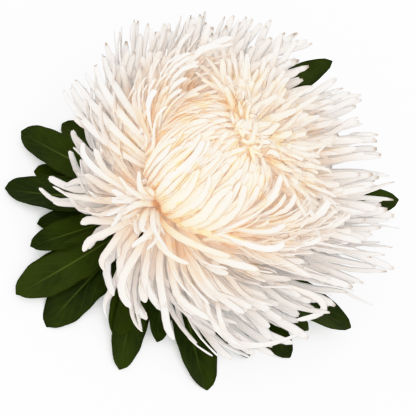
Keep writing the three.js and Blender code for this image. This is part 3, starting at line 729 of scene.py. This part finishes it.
def floret_material(name):
    """Petal white. Its depth is the sum of the cream attribute, the share left to the tip, the
    tone and the nearness to the crown, and it takes the colour from the tips' cool white over
    the crown's cream to the gold of the roots, which is partly their own colour and partly
    painted golden shade deep among the florets. Edges on the crown have painted orange shade of
    the crevices where a noise is high, edges away from it have painted grey shade, the parting
    has painted golden shade of its hollow over its golden roots, and the end is browned.
    A low glow, more where the colour is deep, stands for light that passes through."""
    graph = Graph(name)
    step = graph.step
    across, along, _ = graph.split(graph.node("ShaderNodeUVMap", {"uv_map": "strap"}))
    tone, brown, cream = graph.number("tone"), graph.number("brown"), graph.number("cream")
    place = graph.node("ShaderNodeTexCoord", out="Object")
    near = step(graph.distance(place, HEAD + CROWN * MM), CROWN_END, CROWN_START)
    # Deeper towards the roots and the crown: partly the florets' own cream and gold, partly painted
    # golden shade of the crevices
    depth = cream + 0.55 * (1 - along) + 0.12 * tone + 0.32 * near
    shown = graph.node("ShaderNodeMath", {"operation": "MINIMUM"}, depth * 0.42, 0.82)
    colour = graph.node("ShaderNodeValToRGB", {"stops": PETAL_STOPS}, shown)
    outer = graph.node("ShaderNodeMath", {"operation": "ABSOLUTE"}, 2 * across - 1)
    # Painted grey shade along the edges of florets away from the crown
    colour = graph.blend(step(outer, 0.6, 1.0) * (1 - near) * 0.45, colour, EDGE_SHADE_GREY)
    # Painted orange shade of the crevices on the crown, along edges where a noise is high
    patches = graph.node("ShaderNodeTexNoise", None, Vector=place, Scale=150.0, Detail=2.0)
    crevice_shade = step(outer, 0.35, 0.9) * step(patches, 0.5, 0.6) * near * 0.65
    colour = graph.blend(crevice_shade, colour, CREVICE_SHADE_ORANGE)
    # Painted golden shade of the parting's hollow, over the golden roots seen in it: golden near a
    # point
    parting = graph.distance(place, HEAD + MM * placed(*PARTING_MIDDLE))
    golden = step(parting, PARTING_END, PARTING_START) * 0.85
    colour = graph.blend(golden, colour, PARTING_SHADE_GOLD)
    depth_of_hue, value = 0.85 + 0.3 * tone, 0.96 + 0.05 * tone
    shade = graph.node(
        "ShaderNodeHueSaturation", None, Hue=0.5, Saturation=depth_of_hue, Value=value, Color=colour,
    )
    spots = graph.node("ShaderNodeTexNoise", None, Scale=900.0, Detail=2.0)
    browning = step(along + 0.03 * spots + 0.03 * brown, 0.992, 1.04)
    graph.feed(Base_Color=graph.blend(browning * brown, shade, TIP_BROWN))
    ribs = graph.node("ShaderNodeMath", {"operation": "SINE"}, across * RIB_PACE)
    grain = graph.node("ShaderNodeTexNoise", None, Scale=420.0, Detail=3.0)
    height = ribs * 0.6 + grain
    bump = graph.node("ShaderNodeBump", None, Strength=0.5, Distance=0.00018, Height=height)
    graph.feed(Normal=bump, Roughness=0.55, Specular_IOR_Level=0.2)
    graph.feed(Subsurface_Weight=0.4, Subsurface_Radius=(1.0, 0.9, 0.8), Subsurface_Scale=0.0005)
    passing = graph.blend(shown * shown + 0.05 * near, PASSING_THIN, PASSING_DEEP)
    graph.feed(Emission_Color=passing, Emission_Strength=0.16)
    return graph.material


petal = floret_material("floret_white")


def finish(piece, node, slot, material):
    """Gives a piece its material and its body, and hides the node that it replaces. The slot is not
    used.
    """
    piece.data.materials.append(material)
    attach(piece, "root")
    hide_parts(node)
    return piece


# The florets

points, along, rank, attributes = radiating_florets()
for name, low_rank, high_rank in (("outer_florets", 0, 0.5), ("middle_florets", 0.5, 1.01)):
    chosen = (rank >= low_rank) & (rank < high_rank)
    share = {key: values[chosen] for key, values in attributes.items()}
    piece = strap_mesh(name, points[chosen], along[chosen], **share)
    finish(piece, "ray_florets", "white_floret", petal)
FAMILIES = [crown_florets, collar_florets, far_florets, whorl_florets, parting_florets, stray_florets]
for family in FAMILIES:
    points, along, attributes = family()
    piece = strap_mesh(family.__name__, points, along, **attributes)
    finish(piece, "ray_florets", "white_floret", petal)


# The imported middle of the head

def revolved(name, profile, sides, lean, wobble, material, node, slot):
    """A closed body: a profile of radius and height turned about Z, its radius waved round by
    the wobble, and slid sideways by a smooth share of its height."""
    radius, height = np.array(profile, dtype=float).T
    turn = np.linspace(0, 2 * math.pi, sides, endpoint=False)
    wave = 1 + wobble * np.sin(turn * sides / 4)
    ring = np.stack([
        radius[:, None] * wave * np.cos(turn),
        radius[:, None] * wave * np.sin(turn),
        np.broadcast_to(height[:, None], (len(height), sides)),
    ], axis=-1)
    share = smooth(0, CROWN[2], height)
    ring[..., 0] += lean[0] * share[:, None]
    ring[..., 1] += lean[1] * share[:, None]
    number = np.arange(len(height) * sides).reshape(len(height), sides)
    after = np.roll(number, -1, axis=1)
    quads = np.stack([number[:-1], after[:-1], after[1:], number[1:]], axis=-1).reshape(-1, 4)
    faces = [*quads.tolist(), number[0, ::-1].tolist(), number[-1].tolist()]
    mesh = bpy.data.meshes.new(name)
    mesh.from_pydata((ring.reshape(-1, 3) * MM + HEAD).tolist(), [], faces)
    mesh.polygons.foreach_set("use_smooth", np.ones(len(faces), dtype=bool))
    mesh.validate()
    return finish(linked(name, mesh), node, slot, material)


def packed_material(name):
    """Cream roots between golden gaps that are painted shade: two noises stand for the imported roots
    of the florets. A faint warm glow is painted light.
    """
    graph = Graph(name)
    place = graph.node("ShaderNodeTexCoord", out="Object")
    clumps = graph.node("ShaderNodeTexNoise", None, Vector=place, Scale=260.0, Detail=3.0)
    grain = graph.node("ShaderNodeTexNoise", None, Vector=place, Scale=1500.0, Detail=2.0)
    # The golden gaps between the clumps are painted shade
    gap_shade, root = linear(0.93, 0.76, 0.48), linear(0.97, 0.89, 0.72)
    graph.feed(Base_Color=graph.blend(graph.step(clumps, 0.35, 0.65), gap_shade, root))
    height = clumps + 0.3 * grain
    bump = graph.node("ShaderNodeBump", None, Strength=0.5, Distance=0.0004, Height=height)
    graph.feed(Normal=bump, Roughness=0.7, Specular_IOR_Level=0.2)
    # A faint warm glow: painted light
    graph.feed(Emission_Color=(1.0, 0.85, 0.65, 1), Emission_Strength=0.1)
    return graph.material


def stalk_material(name):
    """Pale green with long ribs, drawn out along Z. What faces straight down is the cut: pith,
    cream in the middle and green at its rim, which the distance from the stalk's axis tells."""
    graph = Graph(name)
    step = graph.step
    place = graph.node("ShaderNodeTexCoord", out="Object")
    x, y, _ = graph.split(place)
    drawn = graph.node("ShaderNodeVectorMath", {"operation": "MULTIPLY"}, place, (1.0, 1.0, 0.06))
    ribs = graph.node("ShaderNodeTexNoise", None, Vector=drawn, Scale=1600.0, Detail=2.0)
    grain = graph.node("ShaderNodeTexNoise", None, Vector=place, Scale=2400.0, Detail=2.0)
    skin = graph.blend(step(ribs, 0.35, 0.65), linear(0.24, 0.33, 0.1), linear(0.42, 0.5, 0.22))
    away = ((x - float(HEAD[0])) ** 2 + (y - float(HEAD[1])) ** 2) ** 0.5
    pith = graph.blend(step(away, 0.0009, 0.0018), linear(0.88, 0.86, 0.7), linear(0.55, 0.62, 0.33))
    pith = graph.blend(step(grain, 0.5, 0.7) * 0.5, pith, linear(0.7, 0.68, 0.48))
    down = step(graph.split(graph.node("ShaderNodeNewGeometry", out="Normal"))[2], -0.8, -0.95)
    graph.feed(Base_Color=graph.blend(down, skin, pith))
    height = ribs + 0.4 * grain
    bump = graph.node("ShaderNodeBump", None, Strength=0.6, Distance=0.00025, Height=height)
    graph.feed(Normal=bump, Roughness=0.5, Specular_IOR_Level=0.2)
    return graph.material


BED = [
    (3, 0.4), (6, 0.6), (8, 4), (8.5, 11), (10, 16), (13, 23), (15.5, 30), (13, 38), (6, 43), (2, 44),
]
packed = packed_material("packed_roots")
revolved("floret_bed", BED, 96, CROWN[:2], 0.03, packed, "ray_florets", "white_floret")


# Leafy bracts: turn, reach, tip height above the surface, width, and how many degrees of turn
# the root is off the tip

REST = 0.45
BRACTS = np.array([
    (199, 54, 3.5, 14, 5), (211, 45, REST, 11, -4), (222, 55, 2.0, 13, 3), (236, 45, 1.4, 9, 6),
    (246, 52, 5.0, 10, -3), (258, 64, 2.6, 14, 4), (271, 62, REST, 14, -5), (291, 51, 2.8, 13, 7),
    (297, 61, 1.2, 12, -6), (308, 49, 4.2, 9, 3), (326, 64, REST, 15, -4), (336, 52, 4.4, 10, 5),
    (344, 58, 1.6, 11, -3), (357, 66, REST, 15, 6), (365, 64, 6.5, 11, -5), (374, 76, 7, 14, -7),
    (391, 56, 2.0, 13, 4), (406, 79, 26, 13, -6), (424, 54, REST, 13, 5), (446, 77, 29, 10.5, 25),
    (462, 50, REST, 13, -4), (482, 47, 3.0, 12, 6), (503, 45, REST, 13, -5), (524, 44, 3.0, 12, 3),
    (543, 44, 1.2, 13, -6),
])
BRACT_ROOT_RADIUS = 3.0
BRACT_ROOT_HEIGHTS = np.array([7.9, 6.6, 9.0])
BRACT_ACROSS = np.array([
    -1, -0.84, -0.62, -0.4, -0.2, -0.09, 0, 0.09, 0.2, 0.4, 0.62, 0.84, 1, 0.6, 0.2, -0.2, -0.6,
])
BRACT_UNDER = np.array([0, 0, 0, 0, 0, 0, 0, 0, 0, 0, 0, 0, 0, 1, 1, 1, 1])
BRACT_THICKNESS = 0.45
FLOOR_GAP = 0.04
VEIN_PACE, VEIN_SLANT = 58, 15  # of the waves that the relief and the colour of the veins share


def bract_taper(s):
    """Share of the width left near the tip: over the last part 1 less a power of the share of it
    that is passed, to a power, so that the side is round and the point short."""
    share = np.clip((s - 0.58) / 0.42, 0, 1)
    return 0.04 + 0.96 * (1 - share**2.8) ** 0.62


def bract_relief(s, half, phase):
    """How far a bract's upper face stands off its hollow: waves along its edges, opposite at the
    two sides, a bell-shaped furrow along the midrib that ends at the tip, and slanting veins."""
    across = BRACT_ACROSS
    edge = smooth(0.35, 1, np.abs(across)) * np.where(across < 0, 1.0, -0.7)
    wave = (0.05 * half * np.sin(17 * s + phase))[..., None] * edge
    furrow = -(0.3 * smooth(0, 0.1, 1 - s))[None, :, None] * np.exp(-(across / 0.07) ** 2)
    slant = np.sin(VEIN_PACE * s[None, :, None] - VEIN_SLANT * np.abs(across) + phase[..., None])
    bladed = smooth(0.05, 0.2, np.abs(across)) * (1 - smooth(0.75, 0.95, np.abs(across)))
    return wave + (furrow + 0.09 * slant * bladed) * (1 - BRACT_UNDER)


def leafy_bracts():
    """Bracts from the cup to their tips. Each is a cubic Bezier whose points turn from the root's
    turn to the tip's with their share of the length; its half width rises over the first part,
    tapers to the point and is slightly uneven, and nothing goes below the floor."""
    index = np.arange(len(BRACTS))
    turn = np.radians(BRACTS[:, 0])
    reach, tip, width, bend = BRACTS[:, 1:].T
    root = BRACT_ROOT_HEIGHTS[index % 3]
    end = np.where(tip == REST, 0.5, tip)

    def at(radius, height, share):
        """Points at a radius and height, turned back to the root by the share not passed."""
        point = heading(turn + np.radians(bend) * (1 - share), 0.0) * radius[:, None]
        point[:, 2] = height - RECEPTACLE_HEIGHT
        return point

    s = np.linspace(0, 1, 33) ** 0.9
    late_height = end - np.where(tip > root, 0.3 * (end - root), 0)
    centre = bezier(
        at(np.full(len(index), BRACT_ROOT_RADIUS), root, 0.0),
        at(0.42 * reach, root + 0.12 * (end - root), 0.42),
        at(0.74 * reach, late_height, 0.74),
        at(reach, end, 1.0),
        s,
    )
    phase = 6.3 * draw(index, 43)[:, None]
    uneven = 1 + 0.025 * np.sin(21 * s + phase) + 0.02 * np.sin(47 * s + 2 * phase)
    half = 0.5 * width[:, None] * (0.3 + 0.7 * smooth(0, 0.58, s)) * bract_taper(s) * uneven
    hollow = (0.1 + 0.12 * draw(index, 44))[:, None] * half
    thickness = np.full(half.shape, BRACT_THICKNESS)
    facing = np.broadcast_to(UPWARDS, centre.shape)
    twist = (0.16 * spread(index, 41))[:, None] * s
    section = (BRACT_ACROSS, BRACT_UNDER)
    relief = bract_relief(s, half, phase)
    points = strap_points(centre, facing, twist, half, hollow, thickness, 0 * half, section, relief)
    points[..., 2] = np.maximum(points[..., 2], FLOOR_GAP - RECEPTACLE_HEIGHT)
    return points, np.broadcast_to(s, half.shape), dict(tone=draw(index, 42))


def leaf_material(name):
    """Dark leaf green, mottled by two noises. A paler midrib and faint slanting veins follow the
    map, the very edge is yellow-green, and the under face, whose normal looks down, is duller."""
    graph = Graph(name)
    step = graph.step
    across, along, _ = graph.split(graph.node("ShaderNodeUVMap", {"uv_map": "strap"}))
    tone = graph.number("tone")
    place = graph.node("ShaderNodeTexCoord", out="Object")
    blotches = graph.node("ShaderNodeTexNoise", None, Vector=place, Scale=90.0, Detail=3.0)
    grain = graph.node("ShaderNodeTexNoise", None, Vector=place, Scale=1400.0, Detail=2.0)
    outer = graph.node("ShaderNodeMath", {"operation": "ABSOLUTE"}, 2 * across - 1)
    dark, light = linear(0.09, 0.145, 0.0), linear(0.16, 0.215, 0.01)
    body = graph.blend(step(blotches + 0.25 * tone, 0.4, 0.8), dark, light)
    waves = VEIN_PACE * along - VEIN_SLANT * outer
    slant = graph.node("ShaderNodeMath", {"operation": "SINE"}, waves)
    vein = step(slant, 0.8, 1.0) * step(outer, 0.95, 0.6) * 0.3
    body = graph.blend(vein, body, linear(0.2, 0.26, 0.05))
    midrib = step(outer, 0.06, 0.015) * step(along, 1.0, 0.6) * 0.75
    body = graph.blend(midrib, body, linear(0.3, 0.36, 0.13))
    body = graph.blend(step(outer, 0.955, 0.995) * 0.6, body, linear(0.3, 0.33, 0.09))
    under = step(graph.split(graph.node("ShaderNodeNewGeometry", out="Normal"))[2], 0.1, -0.2)
    graph.feed(Base_Color=graph.blend(under * 0.7, body, linear(0.3, 0.37, 0.17)))
    height = grain + 1.5 * blotches
    bump = graph.node("ShaderNodeBump", None, Strength=0.4, Distance=0.00012, Height=height)
    graph.feed(Normal=bump, Roughness=0.3, Specular_IOR_Level=0.06)
    return graph.material


leaf = leaf_material("bract_leaf")
points, along, attributes = leafy_bracts()
piece = strap_mesh("leafy_bracts", points, along, BRACT_ACROSS, **attributes)
finish(piece, "leafy_bracts", "dark_leaf", leaf)

CUP = [(1.5, -6.1), (2.4, -6.0), (5.6, -4.6), (8, -2.2), (8.2, -0.8), (7.6, -0.1), (2, -0.1)]
revolved("involucral_cup", CUP, 64, (0, 0), 0.02, leaf, "leafy_bracts", "dark_leaf")
STALK = [(1.2, -10.3), (2.0, -10.25), (2.1, -9.9), (2.1, -6.45), (1.2, -6.42)]
green = stalk_material("stalk_green")
revolved("cut_stalk_end", STALK, 32, (0, 0), 0.03, green, "cut_stalk", "green_stalk")


# Floor, light and camera

FLOOR_SIDE = 3.0  # metres from its middle
floor_mesh = bpy.data.meshes.new("floor")
corners = [(FLOOR_SIDE * x, FLOOR_SIDE * y, 0) for x, y in ((-1, -1), (1, -1), (1, 1), (-1, 1))]
floor_mesh.from_pydata(corners, [], [(0, 1, 2, 3)])
pale = Graph("pale_floor")
pale.feed(Base_Color=(0.86, 0.915, 0.98, 1), Roughness=0.9, Specular_IOR_Level=0.1)
pale.feed(Emission_Color=(1, 1, 1, 1), Emission_Strength=0.25)
floor_mesh.materials.append(pale.material)
linked("floor", floor_mesh)

ROLL = math.radians(45)  # the axis leans this far to the right in the picture
DISTANCE = 0.85
PIXELS_PER_MM = 3.0
PICTURE = 416
HEAD_PIXEL = (170, 200)
SENSOR = 36.0

axis_right, axis_up, toward = Vector(AXIS_SIDE), Vector(AXIS_UP), Vector(AXIS_OUT)
picture_right = math.cos(ROLL) * axis_right + math.sin(ROLL) * axis_up
picture_up = math.cos(ROLL) * axis_up - math.sin(ROLL) * axis_right
right_mm = (PICTURE / 2 - HEAD_PIXEL[0]) / PIXELS_PER_MM
down_mm = (PICTURE / 2 - HEAD_PIXEL[1]) / PIXELS_PER_MM
target = Vector(HEAD) + MM * (right_mm * picture_right - down_mm * picture_up)
eye = target + DISTANCE * toward
camera_data = bpy.data.cameras.new("view")
camera_data.sensor_width = SENSOR
camera_data.lens = SENSOR * DISTANCE / (PICTURE / PIXELS_PER_MM * MM)
camera = linked("view", camera_data)
axes = Matrix((picture_right, picture_up, toward)).transposed()
camera.matrix_world = Matrix.Translation(eye) @ axes.to_4x4()
bpy.context.scene.camera = camera


WARM_LIGHT = (1, 0.88, 0.8)
WARM_SKY, SKY_STRENGTH = (1, 0.95, 0.9, 1), 1.3
# How bright each share of the light that makes white is shown: a soft foot and shoulder
FILM = [
    (0, 0), (0.03, 0.04), (0.2, 0.3), (0.4, 0.6), (0.55, 0.8), (0.7, 0.92), (0.85, 0.965), (1, 0.99),
]
WHITE_LEVEL = 1.5


def soft_light(name, direction, distance, size, power):
    """A square area light that looks at the head from a direction."""
    data = bpy.data.lights.new(name, "AREA")
    data.shape, data.size, data.energy, data.color = "SQUARE", size, power, WARM_LIGHT
    place = Vector(HEAD) + distance * direction.normalized()
    turned = (place - Vector(HEAD)).to_track_quat("Z", "Y").to_matrix().to_4x4()
    linked(name, data).matrix_world = Matrix.Translation(place) @ turned


soft_light("key", 0.9 * toward + 0.45 * picture_up - 0.35 * picture_right, 1.2, 1.0, 2.3)
soft_light("fill", 0.9 * toward - 0.4 * picture_up + 0.6 * picture_right, 1.4, 1.2, 2.5)
world = bpy.data.worlds.new("studio")
world.use_nodes = True
sky = world.node_tree.nodes["Background"]
sky.inputs["Color"].default_value, sky.inputs["Strength"].default_value = WARM_SKY, SKY_STRENGTH
bpy.context.scene.world = world
display = bpy.context.scene.view_settings
display.view_transform = "Standard"
display.use_curve_mapping = True
display.curve_mapping.white_level = (WHITE_LEVEL,) * 3
curve = display.curve_mapping.curves[3]
for place, level in FILM[1:-1]:
    curve.points.new(place, level)
for point, (place, level) in zip(curve.points, FILM):
    point.location = place, level
display.curve_mapping.update()
bpy.context.scene.cycles.max_bounces = 24
bpy.context.scene.cycles.diffuse_bounces = 16
